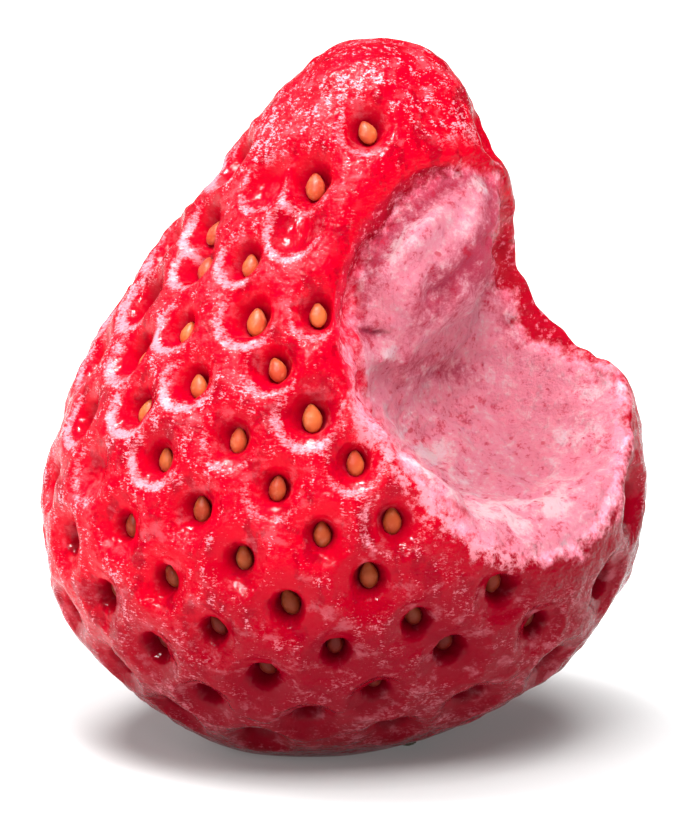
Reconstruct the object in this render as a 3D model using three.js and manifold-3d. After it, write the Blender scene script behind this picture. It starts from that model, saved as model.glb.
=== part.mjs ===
// A ripe strawberry with one bite out of its shoulder, standing on its wide stem end with the tip up.
//
// Two pieces: the fruit, which grew as one body with its pits and achenes, and the torn scrap of calyx
// that is left pressed flat under it. Millimetres, +Z up towards the tip. The origin is on the standing
// plane below the middle of the widest section. The bite faces -Y and +X.

import * as THREE from 'three';
import { mergeVertices } from 'three/addons/utils/BufferGeometryUtils.js';
import Module from 'manifold-3d';

const wasm = await Module();
wasm.setup();

// ---- Driving dimensions, in millimetres and degrees --------------------------------------------

// The skin's outline from the foot to the tip: [radius, height, sideways lean of the centre line].
const OUTLINE = [
  [0.0, -0.6, -1.8],
  [5.2, -0.1, -1.8],
  [9.9, 2.1, -1.2],
  [13.8, 5.4, -0.7],
  [16.1, 9.7, -0.4],
  [16.7, 14.6, 0.0],
  [15.6, 19.6, 0.4],
  [13.1, 24.4, 0.7],
  [9.9, 29.1, 0.9],
  [7.2, 33.4, 1.2],
  [4.8, 36.8, 1.6],
  [2.5, 38.8, 1.9],
  [0.0, 39.2, 2.1],
];
const FRONT_TO_BACK = 0.97; // the fruit is slightly flattened front to back
const SKIN_DETAIL = 8; // how finely the skin's facets are divided

// Shallow waves that keep the skin from being a turned shape.
const LOBES = [
  { height: 0.22, round: 3, up: 1.1, phase: 0.6 },
  { height: 0.14, round: 5, up: -2.3, phase: 2.1 },
];

// The pits follow the golden angle from the tip down. Each one takes a little more skin than the last.
const GOLDEN_ANGLE = 137.46;
const FIRST_PIT_AZIMUTH = -91.8;
const FIRST_PIT = 12;
const PIT_SKIN_AREA = 14.0; // mm2 of skin to each pit at the tip
const PIT_SKIN_GROWTH = 0.031; // mm2 more for each pit further down
const BROAD_SIDE_AZIMUTH = -105; // the fruit grew fuller on this side, which spreads its pits
const BROAD_SIDE_SPREAD = 11.7; // degrees
const PIT = { across: 1.25, along: 1.5, deep: 1.15, sunk: -0.05 };
const ACHENE = { across: 0.62, along: 1.0, deep: 0.6, sunk: 0.98 };
const SIZE_SPREAD = 0.1;
const SEED = 20;
const FOOT_CLEAR = 1.4; // no pit lies lower than this

// Pits that grew out of line, by number: [mm2 further down the skin, degrees further round].
const STRAYS = {
  13: [-45, -9],
  16: [50, 10],
  24: [-40, 5],
  42: [95, 3],
  45: [-85, -4],
  58: [-35, -5],
  71: [-30, -4],
  102: [90, -2],
  149: [-80, -2],
};
const NEVER_GREW = [21];
const LOST_ACHENES = [24, 29, 100];

// The bite is three scoops: a sweep across the far side, the bowl, and a nibble at the lower lip.
const SCOOPS = [
  { at: [26.5, 12.0, 34.0], radius: 21.2, detail: 9 },
  { at: [9.7, -9.0, 24.8], radius: 9.9, detail: 7 },
  { at: [17.5, -20.0, 22.5], radius: 14.2, detail: 7 },
];
const PIT_TO_BITE = 0.9; // skin left between a pit's middle and the bite

// A rounded bulge of flesh that the teeth left standing in the upper part of the bowl.
const BULGE = {
  at: [4.6, -2.7, 27.1],
  lies: [0.62, 0.45, 0.72], // the direction of its length
  faces: [-0.45, -1.0, 0.3],
  halfLength: 6.2,
  halfWidth: 3.2,
  halfDepth: 5.0,
  detail: 4,
};

// The scrap of calyx: a flat stub with the roots of its sepals, one of them still long enough to show.
const CALYX = {
  centre: [-1.8, 0],
  stub: 2.0,
  thickness: 0.8,
  rootWidth: 2.0,
  tipWidth: 1.3,
  clearance: 0.35,
};
const SEPALS = [
  { azimuth: -27, length: 6.4 },
  { azimuth: 48, length: 3.2 },
  { azimuth: 118, length: 2.9 },
  { azimuth: 192, length: 3.4 },
  { azimuth: 262, length: 3.0 },
];

// ---- Helpers -----------------------------------------------------------------------------------

const radians = THREE.MathUtils.degToRad;

/** A closed three.js geometry as a solid that can be joined and cut. */
function solid(geometry, matrix = new THREE.Matrix4()) {
  const bare = geometry.clone().applyMatrix4(matrix);
  bare.deleteAttribute('normal');
  bare.deleteAttribute('uv');
  const merged = mergeVertices(bare, 1e-5);
  return new wasm.Manifold(new wasm.Mesh({
    numProp: 3,
    vertProperties: new Float32Array(merged.attributes.position.array),
    triVerts: new Uint32Array(merged.index.array),
  }));
}

/** A finished solid as a named mesh with its own material. */
function namedMesh(name, body, material) {
  const cut = body.getMesh();
  const geometry = new THREE.BufferGeometry();
  geometry.setAttribute('position', new THREE.BufferAttribute(new Float32Array(cut.vertProperties), 3));
  geometry.setIndex(new THREE.BufferAttribute(new Uint32Array(cut.triVerts), 1));
  const mesh = new THREE.Mesh(geometry, material);
  mesh.name = name;
  return mesh;
}

/** Joins a list of solids, halves first, which keeps every union small. */
function joinAll(bodies) {
  if (bodies.length === 1) {
    return bodies[0];
  }
  const half = bodies.length >> 1;
  return joinAll(bodies.slice(0, half)).add(joinAll(bodies.slice(half)));
}

/** A repeatable random number from 0 to 1. */
function seededRandom(seed) {
  let state = seed;
  return () => {
    state = (state * 1664525 + 1013904223) % 4294967296;
    return state / 4294967296;
  };
}

// ---- The skin ----------------------------------------------------------------------------------

/** Radius, height and lean at t, from 0 at the foot to 1 at the tip, on a smooth curve. */
function outlineAt(t) {
  const last = OUTLINE.length - 1;
  const place = THREE.MathUtils.clamp(t, 0, 1) * last;
  const i = Math.min(Math.floor(place), last - 1);
  const mirrored = ([radius, height, lean]) => [-radius, height, lean];
  const before = i > 0 ? OUTLINE[i - 1] : mirrored(OUTLINE[1]);
  const after = i < last - 1 ? OUTLINE[i + 2] : mirrored(OUTLINE[last - 1]);
  return OUTLINE[i].map((value, axis) => {
    const f = place - i;
    const next = OUTLINE[i + 1][axis];
    const slope0 = (next - before[axis]) / 2;
    const slope1 = (after[axis] - value) / 2;
    const rest = next - value;
    return value + slope0 * f + (3 * rest - 2 * slope0 - slope1) * f * f
      + (slope0 + slope1 - 2 * rest) * f * f * f;
  });
}

/** The point of the skin at t and azimuth, with the fruit's lobes. */
function skinPoint(t, azimuth) {
  const [radius, height, lean] = outlineAt(t);
  const fade = Math.sin(Math.PI * THREE.MathUtils.clamp(t, 0, 1));
  let full = radius;
  for (const lobe of LOBES) {
    full += lobe.height * fade * Math.sin(lobe.round * azimuth + lobe.up * 2 * Math.PI * t + lobe.phase);
  }
  const reach = radius > 0 ? full : 0;
  return new THREE.Vector3(
    lean + reach * Math.cos(azimuth),
    FRONT_TO_BACK * reach * Math.sin(azimuth),
    height,
  );
}

/** A frame on the skin: the point, its outward normal and the direction up along the skin. */
function skinFrame(t, azimuth) {
  const step = 0.002;
  const point = skinPoint(t, azimuth);
  const up = skinPoint(t + step, azimuth).sub(skinPoint(t - step, azimuth)).normalize();
  const round = skinPoint(t, azimuth + step).sub(skinPoint(t, azimuth - step)).normalize();
  const normal = new THREE.Vector3().crossVectors(round, up).normalize();
  const across = new THREE.Vector3().crossVectors(up, normal).normalize();
  return { point, normal, up: new THREE.Vector3().crossVectors(normal, across), across };
}

/** Steps along the outline with the skin's area from the tip down to each. */
function areaSteps(count = 600) {
  const steps = [{ t: 1, area: 0 }];
  for (let i = 1; i <= count; i += 1) {
    const t = 1 - i / count;
    const [r0, z0] = outlineAt(steps[i - 1].t);
    const [r1, z1] = outlineAt(t);
    const band = Math.PI * (r0 + r1) * Math.hypot(r1 - r0, z1 - z0);
    steps.push({ t, area: steps[i - 1].area + band });
  }
  return steps;
}
const AREA_STEPS = areaSteps();
const SKIN_AREA = AREA_STEPS.at(-1).area;

/** The t below which the skin between the tip and that height has this area. */
function tAtArea(area) {
  const i = Math.max(1, AREA_STEPS.findIndex((step) => step.area >= area));
  const a = AREA_STEPS[i - 1];
  const b = AREA_STEPS[i];
  return THREE.MathUtils.mapLinear(area, a.area, b.area, a.t, b.t);
}

/** The whole fruit before the bite: a ball whose facets are spread evenly over the skin. */
function wholeFruit() {
  const ball = new THREE.IcosahedronGeometry(1, SKIN_DETAIL);
  const corners = ball.attributes.position;
  const direction = new THREE.Vector3();
  for (let i = 0; i < corners.count; i += 1) {
    direction.fromBufferAttribute(corners, i).normalize();
    const t = tAtArea(((1 - direction.z) / 2) * SKIN_AREA);
    const point = skinPoint(t, Math.atan2(direction.y, direction.x));
    corners.setXYZ(i, point.x, point.y, point.z);
  }
  return solid(ball);
}

// ---- Bite --------------------------------------------------------------------------------------

/** The bulge of flesh inside the bite. */
function bulge() {
  const length = new THREE.Vector3(...BULGE.lies).normalize();
  const width = new THREE.Vector3(...BULGE.faces).cross(length).normalize();
  const face = new THREE.Vector3().crossVectors(length, width);
  const place = new THREE.Matrix4().makeBasis(length, width, face);
  place.scale(new THREE.Vector3(BULGE.halfLength, BULGE.halfWidth, BULGE.halfDepth));
  place.setPosition(...BULGE.at);
  return solid(new THREE.IcosahedronGeometry(1, BULGE.detail), place);
}

/** The three scoops as one solid, less the bulge. */
function bite() {
  const scoops = SCOOPS.map(({ at, radius, detail }) => (
    solid(new THREE.IcosahedronGeometry(radius, detail), new THREE.Matrix4().makeTranslation(...at))
  ));
  return joinAll(scoops).subtract(bulge());
}

/** Whether a pit here would be bitten away or broken into. */
function isBitten(point) {
  return SCOOPS.some(({ at, radius }) => (
    point.distanceTo(new THREE.Vector3(...at)) < radius + PIT_TO_BITE
  ));
}

// ---- Pits and achenes --------------------------------------------------------------------------

/** Every pit on the skin that is left, in order from the tip down. */
function pits() {
  const random = seededRandom(SEED);
  const found = [];
  for (let n = FIRST_PIT; ; n += 1) {
    const area = PIT_SKIN_AREA * n + PIT_SKIN_GROWTH * n * n;
    if (area >= SKIN_AREA) {
      return found;
    }
    const even = radians(FIRST_PIT_AZIMUTH - n * GOLDEN_ANGLE);
    const azimuth = even - radians(BROAD_SIDE_SPREAD) * Math.sin(even - radians(BROAD_SIDE_AZIMUTH));
    const [further, turned] = STRAYS[n] ?? [0, 0];
    const frame = skinFrame(tAtArea(area + further), azimuth + radians(turned));
    const size = 1 + SIZE_SPREAD * (2 * random() - 1);
    const grew = !NEVER_GREW.includes(n) && frame.point.z > FOOT_CLEAR;
    if (grew && !isBitten(frame.point)) {
      found.push({ ...frame, size, full: !LOST_ACHENES.includes(n) });
    }
  }
}

/** A unit form as a solid in a pit's frame, sized and sunk below the skin. */
function placeInPit(form, { point, normal, up, across, size }, { across: wide, along, deep, sunk }) {
  const place = new THREE.Matrix4().makeBasis(across, up, normal);
  place.scale(new THREE.Vector3(wide * size, along * size, deep * size));
  place.setPosition(point.clone().addScaledVector(normal, -sunk * size));
  return solid(form, place);
}

// ---- Calyx scrap -------------------------------------------------------------------------------

/** The torn calyx, or with a clearance the hollow that it lies in. */
function calyxBody(clearance) {
  const height = CALYX.thickness + clearance;
  const stub = new THREE.CylinderGeometry(CALYX.stub + clearance, CALYX.stub + clearance, height, 12);
  const upright = new THREE.Matrix4().makeRotationX(Math.PI / 2).setPosition(0, 0, height / 2);
  const bodies = [solid(stub, upright)];
  for (const { azimuth, length } of SEPALS) {
    const root = CALYX.rootWidth / 2 + clearance;
    const tip = CALYX.tipWidth / 2 + clearance;
    const end = length + clearance;
    const outline = new THREE.Shape();
    outline.moveTo(0, -root);
    outline.lineTo(end, -tip);
    outline.lineTo(end, tip);
    outline.lineTo(0, root);
    outline.closePath();
    const sepal = new THREE.ExtrudeGeometry(outline, { depth: height, bevelEnabled: false });
    bodies.push(solid(sepal, new THREE.Matrix4().makeRotationZ(radians(azimuth))));
  }
  return joinAll(bodies).translate([...CALYX.centre, 0]);
}

// ---- Assembly ----------------------------------------------------------------------------------

/** The ground under the standing plane, which squares off the foot. */
function ground() {
  const side = 60;
  return solid(new THREE.BoxGeometry(side, side, side), new THREE.Matrix4().makeTranslation(0, 0, -side / 2));
}

function fruit() {
  const places = pits();
  const dent = new THREE.IcosahedronGeometry(1, 0);
  const seed = new THREE.SphereGeometry(1, 6, 2); // six sides, pointed at its upper and lower ends
  const hollows = joinAll(places.map((pit) => placeInPit(dent, pit, PIT)));
  const filled = places.filter((pit) => pit.full);
  const achenes = joinAll(filled.map((pit) => placeInPit(seed, pit, ACHENE)));
  return wholeFruit()
    .subtract(bite())
    .subtract(hollows)
    .add(achenes)
    .subtract(calyxBody(CALYX.clearance).add(ground()));
}

const strawberry = new THREE.Group();
strawberry.add(namedMesh('fruit', fruit(), new THREE.MeshStandardMaterial({
  color: 0xe00a20,
  roughness: 0.35,
  metalness: 0,
})));
strawberry.add(namedMesh('calyx_scrap', calyxBody(0), new THREE.MeshStandardMaterial({
  color: 0x6d7560,
  roughness: 0.8,
  metalness: 0,
})));

export default strawberry;
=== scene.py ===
"""A strawberry with a bite out of its shoulder, standing on its stem end.

Lengths are in millimetres while a piece is shaped, and its mesh is scaled to metres at the end.
"""
import math

import bmesh
import bpy
import numpy as np
from mathutils import Matrix, Vector, noise


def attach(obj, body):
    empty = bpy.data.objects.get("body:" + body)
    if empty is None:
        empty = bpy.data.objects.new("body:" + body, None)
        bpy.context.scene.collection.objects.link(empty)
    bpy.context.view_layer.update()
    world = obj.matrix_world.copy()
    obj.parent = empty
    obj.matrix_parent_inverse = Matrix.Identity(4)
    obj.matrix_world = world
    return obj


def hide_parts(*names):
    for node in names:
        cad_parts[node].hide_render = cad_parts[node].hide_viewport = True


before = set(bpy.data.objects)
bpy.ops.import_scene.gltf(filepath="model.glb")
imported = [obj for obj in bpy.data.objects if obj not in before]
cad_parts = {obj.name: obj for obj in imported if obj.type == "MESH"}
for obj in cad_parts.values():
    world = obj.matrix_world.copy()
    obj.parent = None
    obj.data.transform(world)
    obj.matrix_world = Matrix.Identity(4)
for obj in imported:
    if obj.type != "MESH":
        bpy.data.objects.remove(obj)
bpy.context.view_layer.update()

# ---- Fruit: the whole form ---------------------------------------------------------------------
# The swollen receptacle of a strawberry: one body of soft flesh under a thin glossy skin, grown round
# its stem end, which it stands on. This is its form before it was bitten and before the pits.

CUBE_CUTS = 31
OUTLINE = np.array([  # radius, height and sideways lean of the centre line, from the foot to the tip
    [0.0, -0.6, -1.8],
    [5.2, -0.1, -1.8],
    [9.9, 2.1, -1.2],
    [13.8, 5.4, -0.7],
    [16.1, 9.7, -0.4],
    [16.7, 14.6, 0.0],
    [15.6, 19.6, 0.4],
    [13.1, 24.4, 0.7],
    [9.9, 29.1, 0.9],
    [7.2, 33.4, 1.2],
    [4.8, 36.8, 1.6],
    [2.5, 38.8, 1.9],
    [0.0, 39.2, 2.1],
])
FRONT_TO_BACK = 0.97
LOBES = [  # height, waves round, waves up, phase
    (0.22, 3, 1.1, 0.6),
    (0.14, 5, -2.3, 2.1),
]


def outline_at(t):
    """Radius, height and lean at t, from 0 at the foot to 1 at the tip, on a smooth curve."""
    mirror = np.array([-1, 1, 1])
    posts = np.vstack([OUTLINE[1] * mirror, OUTLINE, OUTLINE[-2] * mirror])
    place = np.clip(t, 0, 1) * (len(OUTLINE) - 1)
    i = np.minimum(place.astype(int), len(OUTLINE) - 2)
    f = (place - i)[:, None]
    a, b, c, d = (posts[i + k] for k in range(4))
    bend = 2 * a - 5 * b + 4 * c - d
    turn = 3 * b - a - 3 * c + d
    return 0.5 * (2 * b + (c - a) * f + bend * f ** 2 + turn * f ** 3)


def lobe_height(t, azimuth):
    """How far the lobes lift the skin."""
    height = np.zeros_like(t)
    for rise, waves_round, waves_up, phase in LOBES:
        height += rise * np.sin(waves_round * azimuth + waves_up * 2 * np.pi * t + phase)
    return height * np.sin(np.pi * np.clip(t, 0, 1))


def skin_points(t, azimuth):
    """Points of the unbroken skin."""
    radius, height, lean = outline_at(t).T
    reach = np.where(radius > 0, radius + lobe_height(t, azimuth), 0)
    return np.column_stack([
        lean + reach * np.cos(azimuth),
        FRONT_TO_BACK * reach * np.sin(azimuth),
        height,
    ])


OUTLINE_STEPS = 601
STEPS = np.linspace(1, 0, OUTLINE_STEPS)
STEP_PLACES = outline_at(STEPS)
step_lengths = np.hypot(np.diff(STEP_PLACES[:, 0]), np.diff(STEP_PLACES[:, 1]))
bands = np.pi * (STEP_PLACES[1:, 0] + STEP_PLACES[:-1, 0]) * step_lengths
AREAS = np.concatenate([[0], np.cumsum(bands)])
SKIN_AREA = AREAS[-1]


def t_at_area(area):
    """The t with this much skin between it and the tip."""
    return np.interp(area, AREAS, STEPS)


def vertex_array(mesh):
    """A mesh's vertices as an array."""
    flat = np.empty(len(mesh.vertices) * 3)
    mesh.vertices.foreach_get("co", flat)
    return flat.reshape(-1, 3)


def move_vertices(mesh, places):
    """Puts a mesh's vertices at these places."""
    mesh.vertices.foreach_set("co", places.ravel())
    mesh.update()


def mesh_object(name, bm):
    """A bmesh as an object in the scene."""
    mesh = bpy.data.meshes.new(name)
    bm.to_mesh(mesh)
    bm.free()
    obj = bpy.data.objects.new(name, mesh)
    bpy.context.scene.collection.objects.link(obj)
    return obj


def whole_fruit():
    """The unbitten form: a cube cut into a grid, puffed into a ball and drawn out to the outline."""
    bm = bmesh.new()
    bmesh.ops.create_cube(bm, size=2)
    bmesh.ops.subdivide_edges(bm, edges=bm.edges[:], cuts=CUBE_CUTS, use_grid_fill=True)
    obj = mesh_object("whole_fruit", bm)
    ball = np.tan(vertex_array(obj.data) * np.pi / 4)
    ball /= np.linalg.norm(ball, axis=1, keepdims=True)
    t = t_at_area((1 - ball[:, 2]) / 2 * SKIN_AREA)
    move_vertices(obj.data, skin_points(t, np.arctan2(ball[:, 1], ball[:, 0])))
    return obj


# ---- Fruit: the bite ---------------------------------------------------------------------------
# Teeth swept out three overlapping scoops of flesh and left a rounded bulge standing between them. The
# flesh is torn, not sliced, so it is lumpy and fibrous, and its edge is rounded where the skin folded in.

SCOOPS = [  # centre and radius
    (np.array([26.5, 12.0, 34.0]), 21.2),
    (np.array([9.7, -9.0, 24.8]), 9.9),
    (np.array([17.5, -20.0, 22.5]), 14.2),
]
SCOOP_BLEND = 1.2
BULGE_AT = np.array([4.2, -3.4, 27.3])
BULGE_LIES = np.array([0.62, 0.45, 0.72])
BULGE_FACES = np.array([-0.45, -1.0, 0.3])
BULGE_HALVES = np.array([5.6, 3.2, 4.2])  # half its length, width and depth
BULGE_BLEND = (2.2, 6.0)  # at its upper end and at its lower end, where it runs out into the bowl
BULGE_RUNS_OUT = (22.5, 26.5)  # the heights between which it does
RIM_ROUNDING = (2.4, 0.7)  # at the left of the bite and at its right
RIM_SHARPENS = (3.0, 9.0)  # where across the bite it goes from one to the other
BALL_CUTS = 5
VOXEL = 0.25
SETTLE_ROUNDS = 6
LEAST_WAY = 0.5  # the length taken where the ways off the skin and off the flesh nearly cancel
BATCH = 20000  # how many points are measured at a time


def unit(rows):
    """Each row at length 1."""
    return rows / np.linalg.norm(rows, axis=-1, keepdims=True)


def smooth_step(low, high, value):
    """0 below low, 1 above high and smooth between."""
    f = np.clip((value - low) / (high - low), 0, 1)
    return f * f * (3 - 2 * f)


def soft_max(a, b, blend):
    """The larger of two values, rounded over where they are near each other, and a's share in it."""
    share = np.clip(0.5 + 0.5 * (a - b) / blend, 0, 1)
    return b + (a - b) * share + blend * share * (1 - share), share


def skin_distance(points):
    """Distance out from the unbroken skin, and the way out."""
    lean = np.interp(points[:, 2], STEP_PLACES[::-1, 1], STEP_PLACES[::-1, 2])
    across = points[:, 0] - lean
    depth = points[:, 1] / FRONT_TO_BACK
    radius = np.hypot(across, depth)
    azimuth = np.arctan2(depth, across)
    nearest = np.empty(len(points), int)
    for start in range(0, len(points), BATCH):
        part = slice(start, start + BATCH)
        gap = (radius[part, None] - STEP_PLACES[None, :, 0]) ** 2
        gap += (points[part, 2, None] - STEP_PLACES[None, :, 1]) ** 2
        nearest[part] = gap.argmin(axis=1)
    along = np.gradient(STEP_PLACES[:, :2], axis=0)
    along /= np.linalg.norm(along, axis=1, keepdims=True)
    out_radius = -along[nearest, 1]
    out_height = along[nearest, 0]
    distance = (radius - STEP_PLACES[nearest, 0]) * out_radius
    distance += (points[:, 2] - STEP_PLACES[nearest, 1]) * out_height
    distance -= lobe_height(STEPS[nearest], azimuth)
    way_out = np.column_stack([out_radius * np.cos(azimuth), out_radius * np.sin(azimuth), out_height])
    return distance, way_out


def scoop_distance(points):
    """Distance out from the scoops, and the way out."""
    total = None
    for centre, radius in SCOOPS:
        arm = points - centre
        gap = np.linalg.norm(arm, axis=1) - radius
        if total is None:
            total, way_out = gap, unit(arm)
        else:
            less, share = soft_max(-total, -gap, SCOOP_BLEND)
            total = -less
            way_out = way_out * share[:, None] + unit(arm) * (1 - share[:, None])
    return total, unit(way_out)


def bulge_axes():
    """The directions of the bulge's length, width and depth, as rows."""
    length = unit(BULGE_LIES)
    width = unit(np.cross(BULGE_FACES, length))
    return np.array([length, width, np.cross(length, width)])


def bulge_distance(points):
    """Distance out from the bulge, and the way out."""
    axes = bulge_axes()
    arm = (points - BULGE_AT) @ axes.T
    whole = np.linalg.norm(arm / BULGE_HALVES, axis=1)
    steep = np.linalg.norm(arm / BULGE_HALVES ** 2, axis=1)
    return whole * (whole - 1) / steep, unit(arm / BULGE_HALVES ** 2) @ axes


def cavity_distance(points):
    """Distance into the bite's hollow from its flesh, the way in, and the way out of the flesh."""
    scoop, scoop_out = scoop_distance(points)
    bulge, bulge_out = bulge_distance(points)
    run_out = 1 - smooth_step(*BULGE_RUNS_OUT, points[:, 2])
    blend = BULGE_BLEND[0] + (BULGE_BLEND[1] - BULGE_BLEND[0]) * run_out
    less, share = soft_max(scoop, -bulge, blend)
    way = -scoop_out * share[:, None] + bulge_out * (1 - share[:, None])
    return -less, unit(way)


def settle(points):
    """Moves points on to the bitten form."""
    for _ in range(SETTLE_ROUNDS):
        skin, skin_out = skin_distance(points)
        flesh, flesh_out = cavity_distance(points)
        right = smooth_step(*RIM_SHARPENS, points[:, 0])
        value, share = soft_max(skin, flesh, RIM_ROUNDING[0] + (RIM_ROUNDING[1] - RIM_ROUNDING[0]) * right)
        way = skin_out * share[:, None] + flesh_out * (1 - share[:, None])
        way /= np.maximum(np.linalg.norm(way, axis=1, keepdims=True), LEAST_WAY)
        points = points - way * value[:, None]
    return points


def ball_object(name, matrix):
    """A fine ball, placed and stretched."""
    bm = bmesh.new()
    bmesh.ops.create_icosphere(bm, subdivisions=BALL_CUTS, radius=1, matrix=matrix)
    return mesh_object(name, bm)


def evened(obj, voxel):
    """An object's mesh, with its modifiers, made again of even faces; the object goes."""
    even = obj.modifiers.new("even", "REMESH")
    even.mode = "VOXEL"
    even.voxel_size = voxel
    shown = obj.evaluated_get(bpy.context.evaluated_depsgraph_get())
    mesh = bpy.data.meshes.new_from_object(shown)
    bpy.data.objects.remove(obj)
    return mesh


def bitten_fruit():
    """The fruit less its scoops and with the bulge, as an even mesh of fine faces."""
    fruit = whole_fruit()
    tools = []
    for centre, radius in SCOOPS:
        scoop = ball_object("scoop", Matrix.Translation(centre) @ Matrix.Scale(radius, 4))
        tools.append((scoop, "DIFFERENCE"))
    turn = Matrix(bulge_axes()).transposed().to_4x4()
    stretch = Matrix.Diagonal((*BULGE_HALVES, 1))
    bulge = ball_object("bulge", Matrix.Translation(BULGE_AT) @ turn @ stretch)
    tools.append((bulge, "UNION"))
    for tool, operation in tools:
        cut = fruit.modifiers.new("bite", "BOOLEAN")
        cut.operation = operation
        cut.solver = "EXACT"
        cut.object = tool
    mesh = evened(fruit, VOXEL)
    for tool, _ in tools:
        bpy.data.objects.remove(tool)
    mesh.name = "fruit"
    return mesh


fruit_mesh = bitten_fruit()
places = settle(vertex_array(fruit_mesh))

# The pale flesh ends short of the rim, in a ragged line. This is that line as it lies on a plane that
# leans back with the bite's face: across, and up the plane.
FACE_LEAN = math.radians(12)
FLESH_EDGE = np.array([
    [5.4, 30.7], [6.9, 31.2], [8.0, 30.5], [8.1, 29.3], [7.7, 27.0], [8.2, 24.5], [9.0, 24.1],
    [9.1, 22.8], [9.9, 21.7], [11.6, 21.2], [13.3, 20.5], [14.9, 20.2], [15.3, 18.5], [15.2, 15.9],
    [14.6, 13.4], [13.6, 11.4], [11.9, 10.4], [9.5, 10.5], [7.0, 11.5], [5.3, 13.0], [4.0, 14.8],
    [2.4, 16.6], [1.2, 18.4], [0.6, 20.3], [0.4, 22.5], [0.9, 25.3], [2.0, 27.4], [3.6, 29.3],
])


def inside_outline(flat, outline):
    """How far each point of a plane lies inside a closed outline; outside it is less than 0."""
    nearest = np.full(len(flat), np.inf)
    inside = np.zeros(len(flat), bool)
    for a, b in zip(outline, np.roll(outline, -1, axis=0)):
        edge = b - a
        arm = flat - a
        share = np.clip(arm @ edge / (edge @ edge), 0, 1)
        nearest = np.minimum(nearest, np.linalg.norm(arm - share[:, None] * edge, axis=1))
        level = (a[1] > flat[:, 1]) != (b[1] > flat[:, 1])
        crossing = a[0] + (flat[:, 1] - a[1]) / (edge[1] if edge[1] else 1e-9) * edge[0]
        inside ^= level & (flat[:, 0] < crossing)
    return np.where(inside, nearest, -nearest)


FIELD_SHIFT = (7.3, 3.1, 5.7)  # how far apart the fields of different seeds are


def field(points, size, seed):
    """A smooth random field of about -1 to 1, with waves of this size."""
    shift = Vector([seed * way for way in FIELD_SHIFT])
    return np.array([noise.noise(Vector(point) / size + shift) for point in points])


# Low ridges and lumps that stand on the flesh, and hollows in it: across and up the leaning plane, half
# length, half width, tilt in degrees and height.
FLESH_LUMPS = [
    (4.0, 27.4, 4.8, 0.9, 47, 0.7),
    (5.7, 25.0, 4.4, 1.7, 47, -0.7),
    (6.2, 15.9, 4.6, 1.0, -42, 0.6),
    (11.3, 12.9, 1.6, 1.0, 35, 0.4),
    (9.2, 13.9, 1.5, 0.8, -20, 0.3),
    (13.4, 16.2, 1.5, 0.6, 12, 0.35),
    (14.0, 17.8, 1.3, 0.5, 20, 0.3),
    (12.6, 18.6, 1.6, 0.6, 25, 0.25),
    (2.0, 21.2, 0.9, 0.7, 20, 0.45),
    (3.4, 27.6, 1.2, 0.4, 45, 0.2),
    (9.4, 29.8, 1.4, 1.1, 60, -0.4),
    (9.2, 27.6, 1.2, 1.0, 60, 0.35),
]
CREASE = (1.5, 22.3, 1.5, 0.35, -8, -0.4)  # a short fold under the foot of the bulge
IN_BITE_BELOW = (0.25, 0.9)  # depths below the skin at which a place starts to be, and is, in the bite
IN_BITE_WITHIN = (-1.0, -0.2)  # and the same out from the torn flesh, less than 0 being inside it
TORN_WAVES = [(0.3, 2.2, 1), (0.26, 1.0, 2)]  # height, length and seed
EDGE_WAVE = (0.5, 0.8, 3)
EDGE_STEP = {"inside_edge": (-0.5, 0.1), "high": 0.3, "below": 0.1}  # the step up to the pale flesh
SWELL_WAVES = [(0.18, 2.6, 4), (0.10, 1.1, 5), (0.06, 0.6, 8)]
SWELL_ABOVE_FOOT = (0.3, 1.5)  # the heights between which the swell of the skin sets in


def waves(points, rows):
    """Smooth random relief: the sum of waves, each with its height, length and seed."""
    return sum(height * field(points, length, seed) for height, length, seed in rows)


def lump_heights(flat, lumps):
    """The lumps' heights at points of the leaning plane."""
    height = np.zeros(len(flat))
    for across, up, half_length, half_width, tilt, rise in lumps:
        turn = math.radians(tilt)
        arm = flat - [across, up]
        along = arm @ [math.cos(turn), math.sin(turn)]
        aside = arm @ [-math.sin(turn), math.cos(turn)]
        height += rise * (1 - smooth_step(0, 1, np.hypot(along / half_length, aside / half_width)))
    return height


# Where the flesh is rosier, as painted shade beside the bulge's crest, in the valley and in the crease, and
# where it is whiter, partly painted light on lumps facing the lamps: across, up, half length, half width,
# tilt, strength.
FLESH_SHADE_ZONES = [
    (5.7, 24.9, 5.2, 2.2, 50, 1.05),
    (5.6, 20.4, 3.8, 1.6, -15, 0.75),
    (3.2, 20.4, 2.2, 1.5, -60, 0.4),
    (9.4, 22.5, 2.2, 1.0, -40, 0.4),
    (1.5, 22.3, 1.7, 0.5, -8, 1.0),
]
WHITE_FLESH = [
    (3.2, 27.3, 4.4, 1.3, 52, 0.7),
    (6.9, 30.4, 1.7, 1.0, 20, 0.6),
    (2.1, 21.3, 1.0, 0.8, 20, 0.8),
    (11.0, 12.8, 2.6, 1.5, 30, 1.0),
    (13.4, 16.4, 2.2, 1.3, 15, 0.95),
    (13.8, 19.2, 2.0, 1.2, 15, 0.8),
    (4.9, 15.0, 5.0, 1.6, -42, 0.6),
    (8.6, 12.2, 3.0, 1.3, -20, 0.8),
]

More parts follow.
